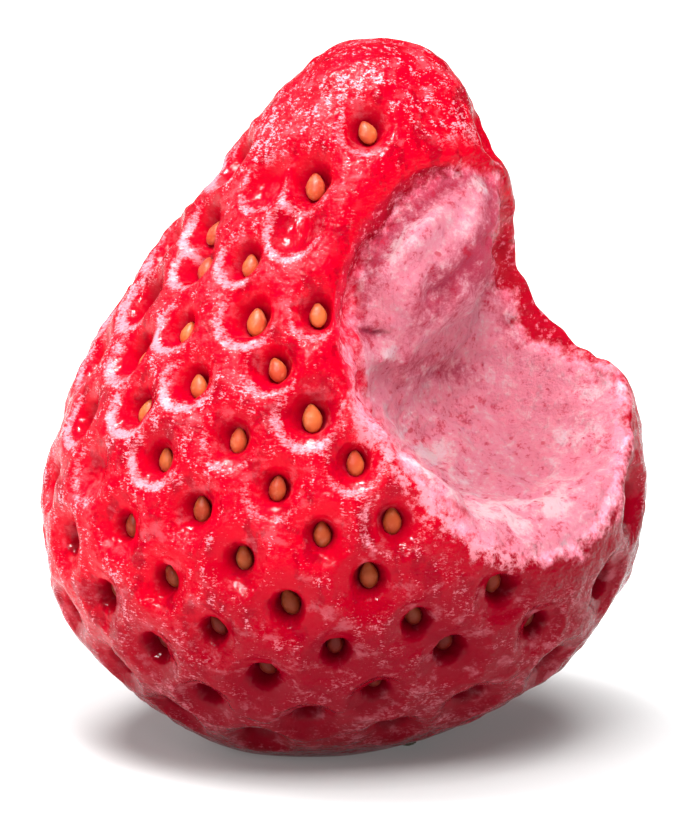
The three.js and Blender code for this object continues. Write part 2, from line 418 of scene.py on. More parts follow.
flesh_face = np.column_stack([
    places[:, 0],
    places[:, 2] * math.cos(FACE_LEAN) + places[:, 1] * math.sin(FACE_LEAN),
])
skin, skin_out = skin_distance(places)
cavity, flesh_out = cavity_distance(places)
in_bite = smooth_step(*IN_BITE_BELOW, -skin) * smooth_step(*IN_BITE_WITHIN, cavity)
bitten = np.flatnonzero(in_bite > 0)
edge_inside = inside_outline(flesh_face, FLESH_EDGE)
torn = np.zeros(len(places))
torn[bitten] = waves(places[bitten], TORN_WAVES) + lump_heights(flesh_face[bitten], FLESH_LUMPS + [CREASE])
ragged = edge_inside[bitten] + waves(places[bitten], [EDGE_WAVE])
torn[bitten] += EDGE_STEP["high"] * smooth_step(*EDGE_STEP["inside_edge"], ragged) - EDGE_STEP["below"]
places += flesh_out * (torn * in_bite)[:, None]
swell = np.zeros(len(places))
unbitten = np.flatnonzero(in_bite < 1)
swell[unbitten] = waves(places[unbitten], SWELL_WAVES)
swell = swell * (1 - in_bite) * smooth_step(*SWELL_ABOVE_FOOT, places[:, 2])
places += skin_out * swell[:, None]

# ---- Fruit: the pits ---------------------------------------------------------------------------
# Each achene grew in a pit of the skin: a wide shallow cup with a steep hollow in its middle. They run
# from the tip down by the golden angle, and the skin swells up between them.

MM = 0.001
GOLDEN_ANGLE = 137.46
FIRST_PIT_AZIMUTH = -91.8
FIRST_PIT = 12
PIT_SKIN_AREA = 14.0
PIT_SKIN_GROWTH = 0.031
BROAD_SIDE_AZIMUTH = -105
BROAD_SIDE_SPREAD = 11.7
STRAYS = {  # pits that grew out of line: mm2 further down the skin, degrees further round
    13: (-45, -9),
    16: (50, 10),
    24: (-40, 5),
    42: (95, 3),
    45: (-85, -4),
    58: (-35, -5),
    71: (-30, -4),
    102: (90, -2),
    149: (-80, -2),
}
NEVER_GREW = [21]
LOST_ACHENES = [24, 29, 100]
SIZE_SPREAD = 0.1
SEED = 20
RANDOM = {"times": 1664525, "plus": 1013904223, "span": 4294967296}
FOOT_CLEAR = 1.4
PIT_TO_BITE = 0.9
PIT_REACH = 1.3  # how far from its middle a pit is felt, in half widths of its cup
PIT_MIDDLE = 0.1  # nearer its middle than this, a pit's painted highlight ring no longer gains from the way it faces
CUP = {"inner": 1.0, "outer": 2.1, "deep": 0.45}
HOLLOW = {"inner": 0.5, "outer": 1.35, "deep": 1.1, "tall": 1.1}
SHALLOW_AT_TIP = 0.8
DEEP_AT_FOOT = 1.4
NARROW_AT_FOOT = 0.3  # how much narrower hollows are at the foot
NARROWS = (0.75, 0.3)  # places along the outline, from 1 at the tip, between which they narrow
SHALLOW_IF_EMPTY = 0.35
FADE_AT_BITE = (0.2, 1.4)  # distances from the bite and from the ground over which a pit fades out
FADE_AT_FOOT = (0.3, 1.2)
HIGHLIGHT_RING = {"reach": 1.65, "half_width": 0.65}  # a painted highlight ring round a pit, strongest on its low side
HIGHLIGHT_RING_STRENGTH = (0.35, 0.7)  # the least and the most, drawn by chance
HIGHLIGHT_RING_LEAN = {"share": 0.38, "up": 0.9, "across": 0.3}
HIGHLIGHT_RINGS_ABOVE = (11.0, 17.0)
UNDERSIDE_SHADE_TOWARDS = np.array([0.45, 0.0, -0.9])  # painted shade: the skin is painted darker underneath and to the right
UNDERSIDE_SHADE_TURNS = (-0.35, 0.55)
GLINTS_TO_LEFT = (0.55, 1.0)  # where the painted glints thicken: how far the skin faces left and right,
GLINTS_TO_RIGHT = (0.35, 0.95)
GLINTS_TO_FOOT = (2.0, 7.5)  # and its heights
GLINTS_TO_TIP = (31.0, 42.0)
NEAR_FLESH = {  # where pale granules lie on the skin: outside the flesh's edge, low, left and by the bite
    "inside_edge": (-2.6, -0.4),
    "up": (17, 21),
    "across": (8, 12),
    "from_bite": (2, 4.5),
}
OPENED_BY_BITE = (0.6, 1.5)
# Painted glints and sheen fade out near the bite: the distances from it between which they come in.
NO_GLINTS_BESIDE_BITE = (0.8, 2.6)


def seeded_random(state):
    """Repeatable random numbers from 0 to 1."""
    while True:
        state = (state * RANDOM["times"] + RANDOM["plus"]) % RANDOM["span"]
        yield state / RANDOM["span"]


def skin_frame(t, azimuth):
    """A point of the skin with its normal, the way up along the skin and the way across."""
    step = 0.002
    t, azimuth = np.array([t]), np.array([azimuth])
    point = skin_points(t, azimuth)[0]
    up = unit(skin_points(t + step, azimuth) - skin_points(t - step, azimuth))[0]
    round_ = unit(skin_points(t, azimuth + step) - skin_points(t, azimuth - step))[0]
    normal = unit(np.cross(round_, up))
    across = unit(np.cross(up, normal))
    return {"point": point, "normal": normal, "up": np.cross(normal, across), "across": across}


def find_pits():
    """Every pit on the skin that is left, from the tip down."""
    draw = seeded_random(SEED)
    draw_rim = seeded_random(SEED + 2)
    found = []
    n = FIRST_PIT
    while PIT_SKIN_AREA * n + PIT_SKIN_GROWTH * n * n < SKIN_AREA:
        even = math.radians(FIRST_PIT_AZIMUTH - n * GOLDEN_ANGLE)
        spread = math.radians(BROAD_SIDE_SPREAD) * math.sin(even - math.radians(BROAD_SIDE_AZIMUTH))
        further, turned = STRAYS.get(n, (0, 0))
        t = t_at_area(PIT_SKIN_AREA * n + PIT_SKIN_GROWTH * n * n + further)
        pit = skin_frame(t, even - spread + math.radians(turned))
        pit["size"] = 1 + SIZE_SPREAD * (2 * next(draw) - 1)
        pit["full"] = n not in LOST_ACHENES
        pit["lip"] = HIGHLIGHT_RING_STRENGTH[0] + (HIGHLIGHT_RING_STRENGTH[1] - HIGHLIGHT_RING_STRENGTH[0]) * next(draw_rim)
        pit["depth"] = SHALLOW_AT_TIP + (DEEP_AT_FOOT - SHALLOW_AT_TIP) * (1 - t)
        pit["narrow"] = 1 + NARROW_AT_FOOT * smooth_step(*NARROWS, t)
        clear = all(np.linalg.norm(pit["point"] - c) >= r + PIT_TO_BITE for c, r in SCOOPS)
        if n not in NEVER_GREW and pit["point"][2] > FOOT_CLEAR and clear:
            found.append(pit)
        n += 1
    return found


def press_pits(points, pits):
    """The skin with its pits pressed in, how far each point is in a cup and a hollow, and painted highlight
    rings.
    """
    fade = smooth_step(*FADE_AT_BITE, scoop_distance(points)[0]) * smooth_step(*FADE_AT_FOOT, points[:, 2])
    in_cup, in_hollow, on_lip = np.zeros((3, len(points)))
    moved = points.copy()
    for pit in pits:
        arm = points - pit["point"]
        near = np.flatnonzero(np.einsum("ij,ij->i", arm, arm) < (CUP["outer"] * PIT_REACH) ** 2)
        side = arm[near] @ pit["across"] / pit["size"]
        rise = arm[near] @ pit["up"] / pit["size"] / HOLLOW["tall"]
        reach = np.hypot(side, rise)
        cup = 1 - smooth_step(CUP["inner"], CUP["outer"], reach)
        hollow = 1 - smooth_step(HOLLOW["inner"], HOLLOW["outer"], reach * pit["narrow"])
        if not pit["full"]:
            hollow *= SHALLOW_IF_EMPTY
        down = (CUP["deep"] * cup + HOLLOW["deep"] * hollow * pit["depth"]) * pit["size"] * fade[near]
        moved[near] -= down[:, None] * pit["normal"]
        in_cup[near] = np.maximum(in_cup[near], cup * fade[near])
        in_hollow[near] = np.maximum(in_hollow[near], hollow * fade[near])
        lean = HIGHLIGHT_RING_LEAN["share"] * (rise * HIGHLIGHT_RING_LEAN["up"] + side * HIGHLIGHT_RING_LEAN["across"])
        low_side = pit["lip"] - lean / np.maximum(reach, PIT_MIDDLE)
        lip = low_side * (1 - smooth_step(0, HIGHLIGHT_RING["half_width"], np.abs(reach - HIGHLIGHT_RING["reach"])))
        on_lip[near] = np.maximum(on_lip[near], lip * fade[near])
    return moved, in_cup, in_hollow, on_lip


def add_attribute(mesh, name, values):
    """A number for each vertex, which the materials read."""
    attribute = mesh.attributes.new(name, "FLOAT", "POINT")
    attribute.data.foreach_set("value", values.astype(np.float32))


pits = find_pits()
places, in_cup, in_hollow, on_lip = press_pits(places, pits)
# The painted highlight rings show only high on the fruit.
on_lip *= smooth_step(*HIGHLIGHT_RINGS_ABOVE, places[:, 2])
# Painted shade: darker where the skin faces down and to the right, away from the lamps.
underside_shade = smooth_step(*UNDERSIDE_SHADE_TURNS, skin_out @ UNDERSIDE_SHADE_TOWARDS)
# Where the painted glints thicken: at the skin's left and right edges, at its foot and at its tip.
glint_edges = np.maximum.reduce([
    smooth_step(*GLINTS_TO_LEFT, -skin_out[:, 0]),
    smooth_step(*GLINTS_TO_RIGHT, skin_out[:, 0]),
    1 - smooth_step(*GLINTS_TO_FOOT, places[:, 2]),
    smooth_step(*GLINTS_TO_TIP, places[:, 2]),
])
from_bite = scoop_distance(places)[0]
by_bite = 1 - smooth_step(*OPENED_BY_BITE, from_bite)
glint_free = 1 - smooth_step(*NO_GLINTS_BESIDE_BITE, from_bite)
near_flesh = smooth_step(*NEAR_FLESH["inside_edge"], edge_inside)
near_flesh *= 1 - smooth_step(*NEAR_FLESH["up"], flesh_face[:, 1])
near_flesh *= 1 - smooth_step(*NEAR_FLESH["across"], flesh_face[:, 0])
near_flesh *= 1 - smooth_step(*NEAR_FLESH["from_bite"], from_bite)

# The scrap of calyx lies in a hollow of the foot: a round stub and the torn roots of five sepals.
CALYX_AT = np.array([-1.8, 0.0])
CALYX = {"stub": 2.0, "root": 1.0, "tip": 0.65}  # half widths
SEPALS = [(-27, 6.4), (48, 3.2), (118, 2.9), (192, 3.4), (262, 3.0)]  # way in degrees, and length
HOLLOW_OF_FOOT = {"clear": 0.2, "edge": 0.6, "tall": 1.1}


def beyond_calyx(flat):
    """How far each point of the ground lies outside the calyx's outline."""
    arm = flat - CALYX_AT
    beyond = np.linalg.norm(arm, axis=1) - CALYX["stub"]
    for azimuth, length in SEPALS:
        way = np.array([math.cos(math.radians(azimuth)), math.sin(math.radians(azimuth))])
        along = np.clip(arm @ way, 0, length)
        half_width = CALYX["root"] + (CALYX["tip"] - CALYX["root"]) * along / length
        beyond = np.minimum(beyond, np.linalg.norm(arm - along[:, None] * way, axis=1) - half_width)
    return beyond


under_calyx = 1 - smooth_step(HOLLOW_OF_FOOT["clear"], HOLLOW_OF_FOOT["edge"], beyond_calyx(places[:, :2]))
places[:, 2] = np.maximum(places[:, 2], HOLLOW_OF_FOOT["tall"] * under_calyx)
move_vertices(fruit_mesh, places * MM)
for name, values in {
    "in_bite": in_bite,
    "edge_inside": edge_inside,
    "rose_and_shade": lump_heights(flesh_face, FLESH_SHADE_ZONES),
    "white": lump_heights(flesh_face, WHITE_FLESH),
    "glint_edges": glint_edges,
    "near_flesh": near_flesh,
    "glint_free": glint_free,
    "by_bite": by_bite,
    "underside_shade": underside_shade,
    "on_lip": on_lip,
    "in_cup": in_cup,
    "in_hollow": in_hollow,
}.items():
    add_attribute(fruit_mesh, name, values)
fruit_mesh.shade_smooth()

# ---- Fruit: its skin and flesh -----------------------------------------------------------------
# One material: saturated red skin, glossy and finely grained, with painted glints, sheen and highlight
# rings and painted shade underneath, on its right and in its pits, turning within a millimetre or two to
# pale pink moist flesh where the bite has opened it, rosier in its hollows as painted shade, whiter on
# lumps partly as painted light, and flecked with red.

PLAIN_NOISE = {"detail": 3.0, "rough": 0.55}
NOISE_MIDDLE = 0.5


def nodes_of(name):
    """A new material, its node tree and its shader."""
    material = bpy.data.materials.new(name)
    material.use_nodes = True
    tree = material.node_tree
    return material, tree, tree.nodes["Principled BSDF"]


def add_node(tree, kind, settings=None, **inputs):
    """A node with its settings, and its inputs by name or number: a value, or another node's output."""
    node = tree.nodes.new("ShaderNode" + kind)
    for key, value in (settings or {}).items():
        setattr(node, key, value)
    for key, value in inputs.items():
        socket = node.inputs[int(key[1:])] if key[1:].isdigit() else node.inputs[key]
        if isinstance(value, bpy.types.NodeSocket):
            tree.links.new(value, socket)
        else:
            socket.default_value = value
    return node


def set_finish(shader, finish):
    """A shader's inputs that are the same all over."""
    for name, value in finish.items():
        shader.inputs[name].default_value = value


def attribute_of(tree, name):
    """A number that the mesh holds for each vertex."""
    return add_node(tree, "Attribute", {"attribute_name": name}).outputs["Fac"]


def object_place(tree):
    """Where a point is on the object, in metres."""
    return add_node(tree, "TexCoord").outputs["Object"]


def part_of(tree, place, axis):
    """One coordinate of a place."""
    return add_node(tree, "SeparateXYZ", Vector=place).outputs[axis]


def combine(tree, operation, a, b):
    """Two values put together by an operation."""
    return add_node(tree, "Math", {"operation": operation}, i0=a, i1=b).outputs[0]


def plus(tree, a, b):
    """One value and another."""
    return combine(tree, "ADD", a, b)


def less(tree, a, b):
    """One value less another."""
    return combine(tree, "SUBTRACT", a, b)


def times(tree, a, b):
    """One value times another."""
    return combine(tree, "MULTIPLY", a, b)


def rest_of(tree, share):
    """What is left of 1."""
    return less(tree, 1.0, share)


def step_of(tree, value, low, high):
    """A value turned smoothly to 0 at low and 1 at high."""
    return add_node(tree, "MapRange", {"interpolation_type": "SMOOTHSTEP"}, Value=value,
                    **{"From Min": low, "From Max": high}).outputs["Result"]


def pattern(tree, place, look):
    """A noise of the look's scale, drawn out into streaks where the look has a stretch."""
    look = {**PLAIN_NOISE, **look}
    if "stretch" in look:
        place = add_node(tree, "Mapping", Vector=place, Scale=look["stretch"]).outputs["Vector"]
    return add_node(tree, "TexNoise", Vector=place, Scale=look["scale"], Detail=look["detail"],
                    Roughness=look["rough"]).outputs["Fac"]


def turned(tree, place, look):
    """A pattern turned smoothly to 0 and 1 at the look's two values."""
    return step_of(tree, pattern(tree, place, look), *look["turns"])


def swing(tree, place, look):
    """A pattern's value above and below its middle."""
    return less(tree, pattern(tree, place, look), NOISE_MIDDLE)


def mix_colours(tree, share, a, b):
    """Two colours mixed."""
    return add_node(tree, "Mix", {"data_type": "RGBA"}, i0=share, i6=a, i7=b).outputs[2]


def mix_in(tree, share, look, colour, added):
    """A colour with the look's share of another where share is 1."""
    return mix_colours(tree, times(tree, share, look["share"]), colour, added)


SKIN_RED = (0.62, 0.0, 0.013, 1)
SKIN_DEEP = (0.31, 0.0, 0.009, 1)
# Painted shade underneath and on the right.
SKIN_SHADE_RED = (0.20, 0.0, 0.007, 1)
# Pale pink of the painted glints, sheen and highlight rings, and of the pale granules by the flesh.
PINK_GLINTS_AND_GRANULES = (0.84, 0.31, 0.38, 1)
# Painted shade in the pits' hollows: the red high on the fruit and the darkest low down.
PIT_SHADE_RED = (0.32, 0.0, 0.010, 1)
PIT_DEEP_SHADE = (0.07, 0.0, 0.003, 1)
FLESH_RED = (0.70, 0.006, 0.035, 1)
# Painted shade in the groove under the bite's brow.
GROOVE_SHADE_RED = (0.20, 0.0, 0.007, 1)
FLESH_PALE = (0.95, 0.285, 0.385, 1)
FLESH_WHITE = (0.96, 0.60, 0.655, 1)
FLESH_ROSE = (0.60, 0.055, 0.115, 1)
# The deeper red of the bite's right wall, partly painted shade.
RIGHT_WALL_SHADE_RED = (0.37, 0.002, 0.013, 1)

# A pattern has a scale, and a detail, roughness and stretch where they aren't plain. It turns from 0 to 1
# between two values, and its share is how much of it shows. Heights and widths here are in metres.
BLOTCH = {"scale": 190, "turns": (0.38, 0.68), "share": 0.5}
VEIN = {
    "scale": 700,
    "detail": 4,
    "rough": 0.65,
    "stretch": (1, 1, 0.6),
    "turns": (0.5, 0.62),
    "share": 0.75,
}
# A painted sheen: soft patches of pale pink that stand in for wet reflections.
SHEEN = {
    "scale": 850,
    "detail": 5,
    "rough": 0.7,
    "stretch": (0.7, 0.7, 1),
    "turns": (0.52, 0.68),
    "share": 0.16,
}
# The patches, streaks and fine noise of the painted glints, and where the glints turn on.
PATCH = {"scale": 170, "detail": 4, "turns": (0.40, 0.68), "at_glint_edges": 0.8, "share": 0.11}
STREAK = {"scale": 1900, "rough": 0.62, "stretch": (1, 1, 0.45), "share": 0.8}
FINE_GLINT_NOISE = {"scale": 9500, "detail": 2, "rough": 0.8, "stretch": (0.42, 0.42, 1)}
GLINT_SPECKS = {"turns": (1.07, 1.19), "share": 0.95, "less_in_underside_shade": 0.8}
GRANULE = {"scale": 1500, "detail": 5, "rough": 0.75, "turns": (0.60, 0.76), "near": 0.2, "share": 0.8}
PAINTED_LIP_HIGHLIGHT = {"glint_pattern": 0.9, "middle": 0.95, "uneven": 1.6, "turns": (0.25, 0.85), "share": 0.8}
PIT_SHADE_LIFTS = (0.007, 0.018)  # painted shade in the pits: the heights between which it lifts from its darkest to pit red


def skin_colour(tree, place):
    """Red skin, deeper in blotches, with painted shade, painted glints, sheen and highlight rings, and pale
    granules.
    """
    underside_shade = attribute_of(tree, "underside_shade")
    glinting_allowed = rest_of(tree, attribute_of(tree, "glint_free"))
    colour = mix_in(tree, turned(tree, place, BLOTCH), BLOTCH, SKIN_RED, SKIN_DEEP)
    colour = mix_in(tree, turned(tree, place, VEIN), VEIN, colour, SKIN_DEEP)
    # Painted shade underneath and on the right.
    colour = mix_colours(tree, underside_shade, colour, SKIN_SHADE_RED)
    # A painted sheen in soft patches, kept off the skin beside the bite.
    colour = mix_in(tree, times(tree, turned(tree, place, SHEEN), glinting_allowed), SHEEN, colour, PINK_GLINTS_AND_GRANULES)

    # Painted glints: fine specks in patches and streaks, thickest at the edges, fewer in the cups and in the
    # painted shade, none by the bite.
    glint_edges = times(tree, attribute_of(tree, "glint_edges"), PATCH["at_glint_edges"])
    patch = plus(tree, turned(tree, place, PATCH), glint_edges)
    streak = times(tree, pattern(tree, place, STREAK), STREAK["share"])
    glint_pattern = plus(tree, streak, pattern(tree, place, FINE_GLINT_NOISE))
    glint_pattern = plus(tree, glint_pattern, times(tree, patch, PATCH["share"]))
    glints = times(tree, step_of(tree, glint_pattern, *GLINT_SPECKS["turns"]), GLINT_SPECKS["share"])
    glints = times(tree, glints, rest_of(tree, attribute_of(tree, "in_cup")))
    glints = times(tree, glints, glinting_allowed)
    glints = times(tree, glints, rest_of(tree, times(tree, underside_shade, GLINT_SPECKS["less_in_underside_shade"])))
    colour = mix_colours(tree, glints, colour, PINK_GLINTS_AND_GRANULES)

    near = attribute_of(tree, "near_flesh")
    granule = plus(tree, pattern(tree, place, GRANULE), times(tree, near, GRANULE["near"]))
    granule = times(tree, step_of(tree, granule, *GRANULE["turns"]), near)
    colour = mix_in(tree, granule, GRANULE, colour, PINK_GLINTS_AND_GRANULES)

    # Painted highlight rings round the pits, broken up by the glints' pattern.
    uneven = less(tree, times(tree, glint_pattern, PAINTED_LIP_HIGHLIGHT["glint_pattern"]), PAINTED_LIP_HIGHLIGHT["middle"])
    lip = plus(tree, attribute_of(tree, "on_lip"), times(tree, uneven, PAINTED_LIP_HIGHLIGHT["uneven"]))
    colour = mix_in(tree, step_of(tree, lip, *PAINTED_LIP_HIGHLIGHT["turns"]), PAINTED_LIP_HIGHLIGHT, colour, PINK_GLINTS_AND_GRANULES)
    # Painted shade in the pits' hollows, darkest low on the fruit.
    pit = mix_colours(tree, step_of(tree, part_of(tree, place, "Z"), *PIT_SHADE_LIFTS), PIT_DEEP_SHADE, PIT_SHADE_RED)
    return mix_colours(tree, attribute_of(tree, "in_hollow"), colour, pit)


MOTTLE = {"scale": 620, "detail": 4, "rough": 0.6, "share": 0.5}
FIBRE = {"scale": 2600, "rough": 0.6, "stretch": (1, 1, 0.28), "turns": (0.56, 0.70), "share": 0.3}
GRIT = {"scale": 4200, "detail": 4, "rough": 0.75, "turns": (0.2, 0.3)}
# The tufts' relief; its share also paints their light and shade into the flesh's colour.
TUFT = {"scale": 1100, "detail": 7, "rough": 0.72, "share": 2.2, "high": 0.0013}
# Whiter flesh on lumps and tuft tops, partly painted light.
WHITE = {"turns": (-0.1, 1.0), "share": 0.75, "uneven": 1.6, "mottled": 5.0}
# Rosier flesh: painted shade in the shaded zones and dips, and rose along the flesh's edge.
ROSE = {"turns": (0.1, 1.2), "uneven": 1.15}
ROSY_EDGE = {"inside_edge": (0.0, 1.7), "height": (0.018, 0.030), "share": 0.9}
# Red in the deepest dips: partly painted shade.
RED_HOLLOW = {"turns": (-0.14, -0.42), "share": 0.6}
FLECK = {"scale": 1500, "detail": 1, "turns": (0.70, 0.78), "share": 0.6}


def flesh_colour(tree, place, tuft):
    """Pale flesh in tufts, whiter in lumps near the skin and rosier in hollows, partly as painted light and
    shade; red flecks, fibres.
    """
    mottle = pattern(tree, place, MOTTLE)
    fibre = pattern(tree, place, FIBRE)
    grit = swing(tree, place, GRIT)
    uneven = less(tree, plus(tree, mottle, fibre), 2 * NOISE_MIDDLE)
    uneven = plus(tree, times(tree, uneven, MOTTLE["share"]), grit)
    # Painted light and shade on the tufts: their high parts come out whiter and their dips rosier and redder.
    uneven = plus(tree, uneven, times(tree, less(tree, tuft, NOISE_MIDDLE), TUFT["share"]))

    # Whiter on the listed lumps: partly the flesh's own paleness, partly painted light where they face the
    # lamps.
    in_lump = attribute_of(tree, "white")
    white = plus(tree, times(tree, in_lump, WHITE["share"]), times(tree, uneven, WHITE["uneven"]))
    mottled = times(tree, less(tree, mottle, NOISE_MIDDLE), WHITE["mottled"])
    white = plus(tree, white, times(tree, mottled, in_lump))
    colour = mix_colours(tree, step_of(tree, white, *WHITE["turns"]), FLESH_PALE, FLESH_WHITE)

    # Rosier as painted shade in the listed zones and in the dips, and rosier along the flesh's edge.
    edge = rest_of(tree, step_of(tree, attribute_of(tree, "edge_inside"), *ROSY_EDGE["inside_edge"]))
    edge = times(tree, edge, step_of(tree, part_of(tree, place, "Z"), *ROSY_EDGE["height"]))
    rose_and_shade = plus(tree, attribute_of(tree, "rose_and_shade"), times(tree, edge, ROSY_EDGE["share"]))
    rose_and_shade = less(tree, rose_and_shade, times(tree, uneven, ROSE["uneven"]))
    colour = mix_colours(tree, step_of(tree, rose_and_shade, *ROSE["turns"]), colour, FLESH_ROSE)

    colour = mix_in(tree, step_of(tree, fibre, *FIBRE["turns"]), FIBRE, colour, FLESH_ROSE)
    # The deepest dips turn red: partly painted shade in the tufts' hollows, partly the mottle's own red.
    colour = mix_in(tree, step_of(tree, uneven, *RED_HOLLOW["turns"]), RED_HOLLOW, colour, FLESH_RED)
    fleck = combine(tree, "MAXIMUM", turned(tree, place, FLECK), step_of(tree, grit, *GRIT["turns"]))
    return mix_in(tree, fleck, FLECK, colour, FLESH_RED)


EDGE_GRANULES = {"scale": 2300, "rough": 0.7, "share": 1.6}
EDGE_WANDERS = {"scale": 700, "share": 2.4}
FLESH_STARTS = (-0.8, 0.2)  # millimetres inside the flesh's edge, as all distances from it are
WALL = {"turns": (0.1, 0.8), "share": 0.85}  # the red wall between the skin and the pale flesh
GROOVE_SHADE = {"height": (0.025, 0.030), "inside_edge": (-1.8, -0.4)}
RIGHT_WALL_SHADE_TURNS = (0.0065, 0.0085)  # how far across the wall turns to its deeper red, partly painted shade
WALL_PALE = {"scale": 2600, "detail": 4, "rough": 0.75, "turns": (0.54, 0.66), "share": 0.55}
SKIN_GRAIN = {"scale": 5200, "detail": 2, "rough": 0.6, "stretch": (1, 1, 0.6)}
SKIN_WRINKLE = {"scale": 1700, "stretch": (0.6, 0.6, 1), "share": 4.0}
SKIN_RELIEF = {"high": 0.00006, "less_in_cups": 0.75}
TUFTS_START = (-0.6, 0.6)
SKIN_ROUGHNESS = (0.14, 0.14, 0.14, 1)
FLESH_ROUGHNESS = (0.5, 0.5, 0.5, 1)
FRUIT_FINISH = {
    "IOR": 1.16,
    "Subsurface Weight": 0.35,
    "Subsurface Radius": (1.0, 0.35, 0.25),
    "Subsurface Scale": 0.00035,
}


def wall_colour(tree, place, edge_inside):
    """The bite's red wall between skin and pale flesh, with pale granules; painted shade in its groove and,
    partly, on its right.
    """
    # Painted shade in the groove under the brow, high up next to the pale flesh.
    groove_shade = times(tree, step_of(tree, part_of(tree, place, "Z"), *GROOVE_SHADE["height"]),
                   step_of(tree, edge_inside, *GROOVE_SHADE["inside_edge"]))
    colour = mix_colours(tree, groove_shade, FLESH_RED, GROOVE_SHADE_RED)
    # Deeper red on the wall's right, partly painted shade.
    right = step_of(tree, part_of(tree, place, "X"), *RIGHT_WALL_SHADE_TURNS)
    colour = mix_colours(tree, right, colour, RIGHT_WALL_SHADE_RED)
    return mix_in(tree, turned(tree, place, WALL_PALE), WALL_PALE, colour, FLESH_PALE)


def fruit_material():
    """Skin and flesh."""
    material, tree, shader = nodes_of("strawberry_flesh")
    place = object_place(tree)
    edge_inside = attribute_of(tree, "edge_inside")
    in_bite = attribute_of(tree, "in_bite")
    wander = plus(tree, times(tree, swing(tree, place, EDGE_GRANULES), EDGE_GRANULES["share"]),
                  times(tree, swing(tree, place, EDGE_WANDERS), EDGE_WANDERS["share"]))
    inside = step_of(tree, plus(tree, edge_inside, wander), *FLESH_STARTS)
    flesh_share = times(tree, inside, attribute_of(tree, "by_bite"))
    opened = step_of(tree, in_bite, *WALL["turns"])
    wall = wall_colour(tree, place, edge_inside)
    skin = mix_in(tree, opened, WALL, skin_colour(tree, place), wall)
    tuft = pattern(tree, place, TUFT)
    colour = mix_colours(tree, flesh_share, skin, flesh_colour(tree, place, tuft))
    tree.links.new(colour, shader.inputs["Base Color"])

    wrinkle = times(tree, pattern(tree, place, SKIN_WRINKLE), SKIN_WRINKLE["share"])
    relief = plus(tree, pattern(tree, place, SKIN_GRAIN), wrinkle)
    in_cup = times(tree, attribute_of(tree, "in_cup"), SKIN_RELIEF["less_in_cups"])
    relief = times(tree, relief, rest_of(tree, in_cup))
    skin_bump = add_node(tree, "Bump", Strength=1.0, Distance=SKIN_RELIEF["high"], Height=relief).outputs[0]
    torn = times(tree, tuft, times(tree, step_of(tree, edge_inside, *TUFTS_START), in_bite))
    bump = add_node(tree, "Bump", Strength=1.0, Distance=TUFT["high"], Height=torn, Normal=skin_bump)
    tree.links.new(bump.outputs[0], shader.inputs["Normal"])
    rough = mix_colours(tree, flesh_share, SKIN_ROUGHNESS, FLESH_ROUGHNESS)
    tree.links.new(rough, shader.inputs["Roughness"])
    set_finish(shader, FRUIT_FINISH)
    return material


def new_piece(name, mesh, material, body, slot, *stands_for):
    """Adds a finished mesh to the object as one of its pieces."""
    obj = bpy.data.objects.new(name, mesh)
    bpy.context.scene.collection.objects.link(obj)
    mesh.materials.clear()
    mesh.materials.append(material)
    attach(obj, body)
    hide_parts(*stands_for)


new_piece("fruit_body", fruit_mesh, fruit_material(), "root", "strawberry_flesh", "fruit")

# ---- Achenes -----------------------------------------------------------------------------------
# The seeds: small hard drops with a satin orange-tan coat, each grown on the floor of its pit with its
# pointed end towards the fruit's tip.

ACHENE = {"across": 0.56, "along": 0.8, "deep": 0.4, "sunk": 1.22}
ACHENE_CUTS = {"u_segments": 12, "v_segments": 8}
ACHENE_TILT = -0.3
ACHENE_TURN = 0.3
ACHENE_TAPER = 0.3
ACHENE_TAPERS = (-0.2, 1)  # along it, from -1 at its round end to 1 at its point
COAT_TAN = (0.46, 0.055, 0.022, 1)
COAT_ORANGE = (0.58, 0.13, 0.035, 1)
COAT_PALE = (0.78, 0.33, 0.18, 1)
# Painted shade for the achenes low on the fruit.
COAT_SHADE = (0.075, 0.002, 0.002, 1)
COAT_TONE = {"scale": 330, "turns": (0.38, 0.64)}
COAT_MARK = {"scale": 2600, "turns": (0.5, 0.75), "share": 0.3}
COAT_SHADE_DOWN_FRUIT = {"height": (0.019, 0.009), "share": (0.0, 0.92)}  # painted shade, deepening down the fruit
COAT_RELIEF = {"scale": 6000, "high": 0.00005, "strength": 0.6}
COAT_FINISH = {"Roughness": 0.38, "IOR": 1.2, "Subsurface Weight": 0.15, "Subsurface Scale": 0.0005}


def achene_mesh():
    """All the achenes in one mesh."""
    bm = bmesh.new()
    draw = seeded_random(SEED + 1)
    for pit in pits:
        turn = ACHENE_TURN * (2 * next(draw) - 1) + ACHENE_TILT
        if not pit["full"]:
            continue
        up = pit["up"] * math.cos(turn) + pit["across"] * math.sin(turn)
        across = np.cross(up, pit["normal"])
        size = pit["size"] / pit["narrow"] ** 0.5
        ball = bmesh.ops.create_uvsphere(bm, radius=1, **ACHENE_CUTS)["verts"]
        for vert in ball:
            narrow = 1 - ACHENE_TAPER * smooth_step(*ACHENE_TAPERS, vert.co.z)
            vert.co.x *= narrow * ACHENE["across"] * size
            vert.co.y *= narrow * ACHENE["deep"] * size
            vert.co.z *= ACHENE["along"] * size
        place = Matrix((across, -pit["normal"], up)).transposed().to_4x4()
        place.translation = pit["point"] - pit["normal"] * ACHENE["sunk"] * pit["size"] * pit["depth"]
        bmesh.ops.transform(bm, matrix=place, verts=ball)
    mesh = bpy.data.meshes.new("achenes")
    bm.to_mesh(mesh)
    bm.free()
    mesh.transform(Matrix.Scale(MM, 4))
    mesh.shade_smooth()
    return mesh


def graded(tree, value, turns, becomes):
    """A value turned evenly to another between two limits."""
    return add_node(tree, "MapRange", Value=value, **{
        "From Min": turns[0],
        "From Max": turns[1],
        "To Min": becomes[0],
        "To Max": becomes[1],
    }).outputs["Result"]


